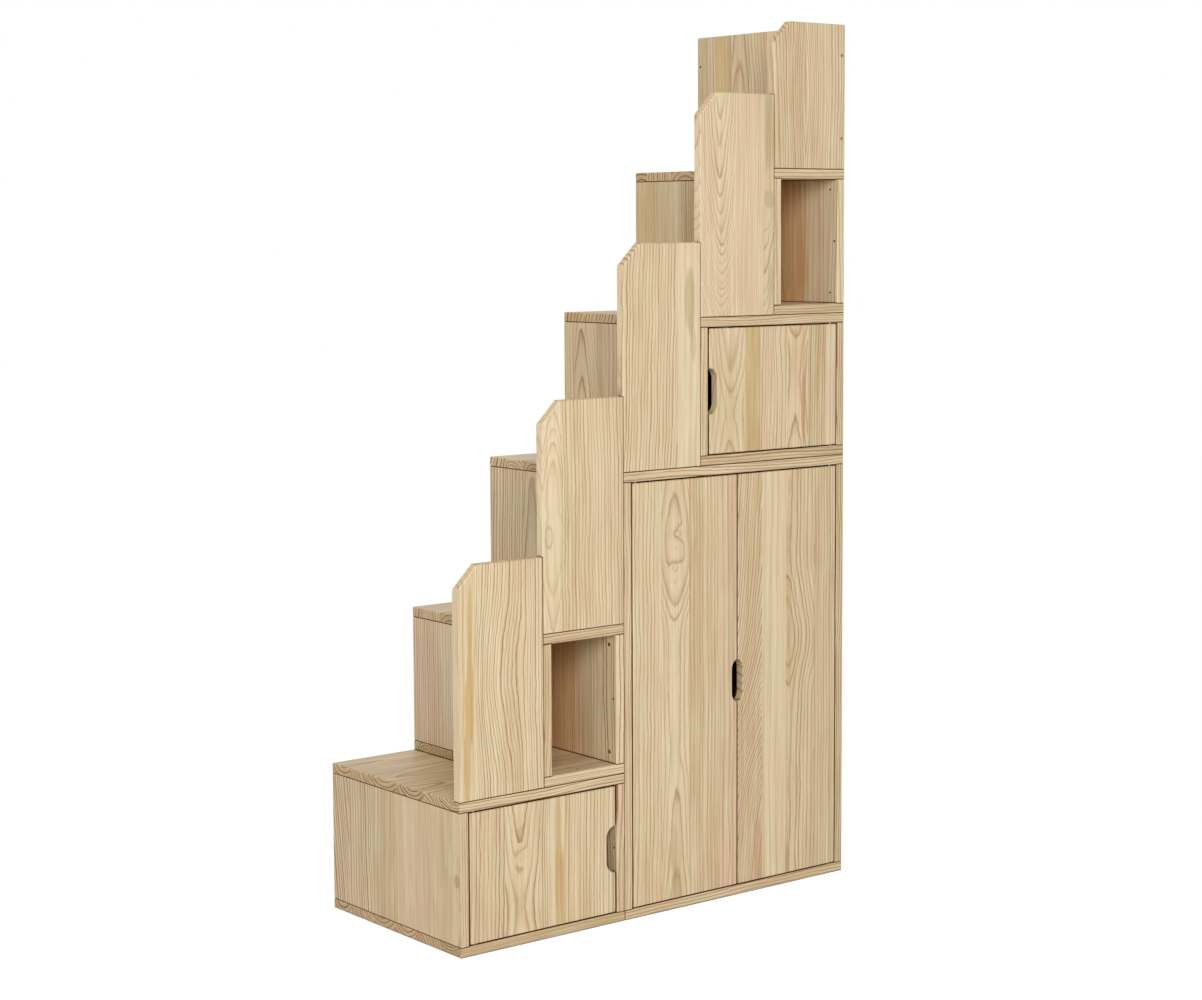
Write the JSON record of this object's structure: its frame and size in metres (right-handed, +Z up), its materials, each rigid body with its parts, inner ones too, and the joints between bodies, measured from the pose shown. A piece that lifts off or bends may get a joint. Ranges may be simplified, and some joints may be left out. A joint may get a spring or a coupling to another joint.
{
  "type": "stepped storage staircase cabinet",
  "caption": "Pine storage staircase of stacked boxes: flush doors with finger notches, open niches, treads rising to one side and bevelled front guards.",
  "frame": {"origin": "middle of the footprint, on the floor", "axes": "+X from the lowest tread to the highest, +Y from the front with the doors to the back, +Z up"},
  "size_m": [1, 0.45, 1.8],
  "materials": {
    "pine": "planed and clear finished softwood",
    "plywood_back": "thin raw plywood",
    "beech_tenon": "raw planed beech",
    "zinc_screw": "bright zinc plated, unpolished",
    "steel": "nickel plated, satin",
    "nylon_bush": "moulded light brown nylon",
    "catch_plastic": "moulded brown plastic"
  },
  "bodies": {
    "root": {"low_floor": "pine", "low_top": "pine", "low_side_left": "pine", "low_side_right": "pine", "low_back": "plywood_back", "low_tenons": "beech_tenon", "lower_niche_floor": "pine", "lower_niche_top": "pine", "lower_niche_side_left": "pine", "lower_niche_side_right": "pine", "lower_niche_back": "plywood_back", "lower_niche_tenons": "beech_tenon", "tall_floor": "pine", "tall_top": "pine", "tall_side_left": "pine", "tall_side_right": "pine", "tall_back": "plywood_back", "tall_tenons": "beech_tenon", "upper_floor": "pine", "upper_top": "pine", "upper_side_left": "pine", "upper_side_right": "pine", "upper_back": "plywood_back", "upper_tenons": "beech_tenon", "upper_niche_floor": "pine", "upper_niche_top": "pine", "upper_niche_side_left": "pine", "upper_niche_side_right": "pine", "upper_niche_back": "plywood_back", "upper_niche_tenons": "beech_tenon", "guard_1": "pine", "guard_2": "pine", "guard_3": "pine", "guard_4": "pine", "guard_5": "pine", "end_board": "pine", "guard_tenons": "beech_tenon", "joining_screws": "zinc_screw", "guard_screws": "zinc_screw", "end_board_screws": "zinc_screw", "pivot_bushes": "nylon_bush", "magnet_catches": "catch_plastic", "catch_poles": "steel", "tall_shelf": "pine", "shelf_pins": "steel"},
    "door_low_leaf": {"door_low": "pine", "pivot_pins_low": "steel", "strike_plate_low": "steel"},
    "door_tall_left_leaf": {"door_tall_left": "pine", "pivot_pins_tall_left": "steel", "strike_plate_tall_left": "steel"},
    "door_tall_right_leaf": {"door_tall_right": "pine", "pivot_pins_tall_right": "steel", "strike_plate_tall_right": "steel"},
    "door_upper_leaf": {"door_upper": "pine", "pivot_pins_upper": "steel", "strike_plate_upper": "steel"}
  },
  "joints": [
    {"name": "door_low_pivot", "type": "hinge", "parent": "root", "child": "door_low_leaf", "pos_m": [-0.465, -0.217, 0.15], "axis": [0, 0, -1], "range_deg": [0, 110]},
    {"name": "door_tall_left_pivot", "type": "hinge", "parent": "root", "child": "door_tall_left_leaf", "pos_m": [-0.065, -0.217, 0.45], "axis": [0, 0, -1], "range_deg": [0, 110]},
    {"name": "door_tall_right_pivot", "type": "hinge", "parent": "root", "child": "door_tall_right_leaf", "pos_m": [0.465, -0.217, 0.45], "axis": [0, 0, 1], "range_deg": [0, 110]},
    {"name": "door_upper_pivot", "type": "hinge", "parent": "root", "child": "door_upper_leaf", "pos_m": [0.465, -0.217, 1.05], "axis": [0, 0, 1], "range_deg": [0, 110]}
  ]
}
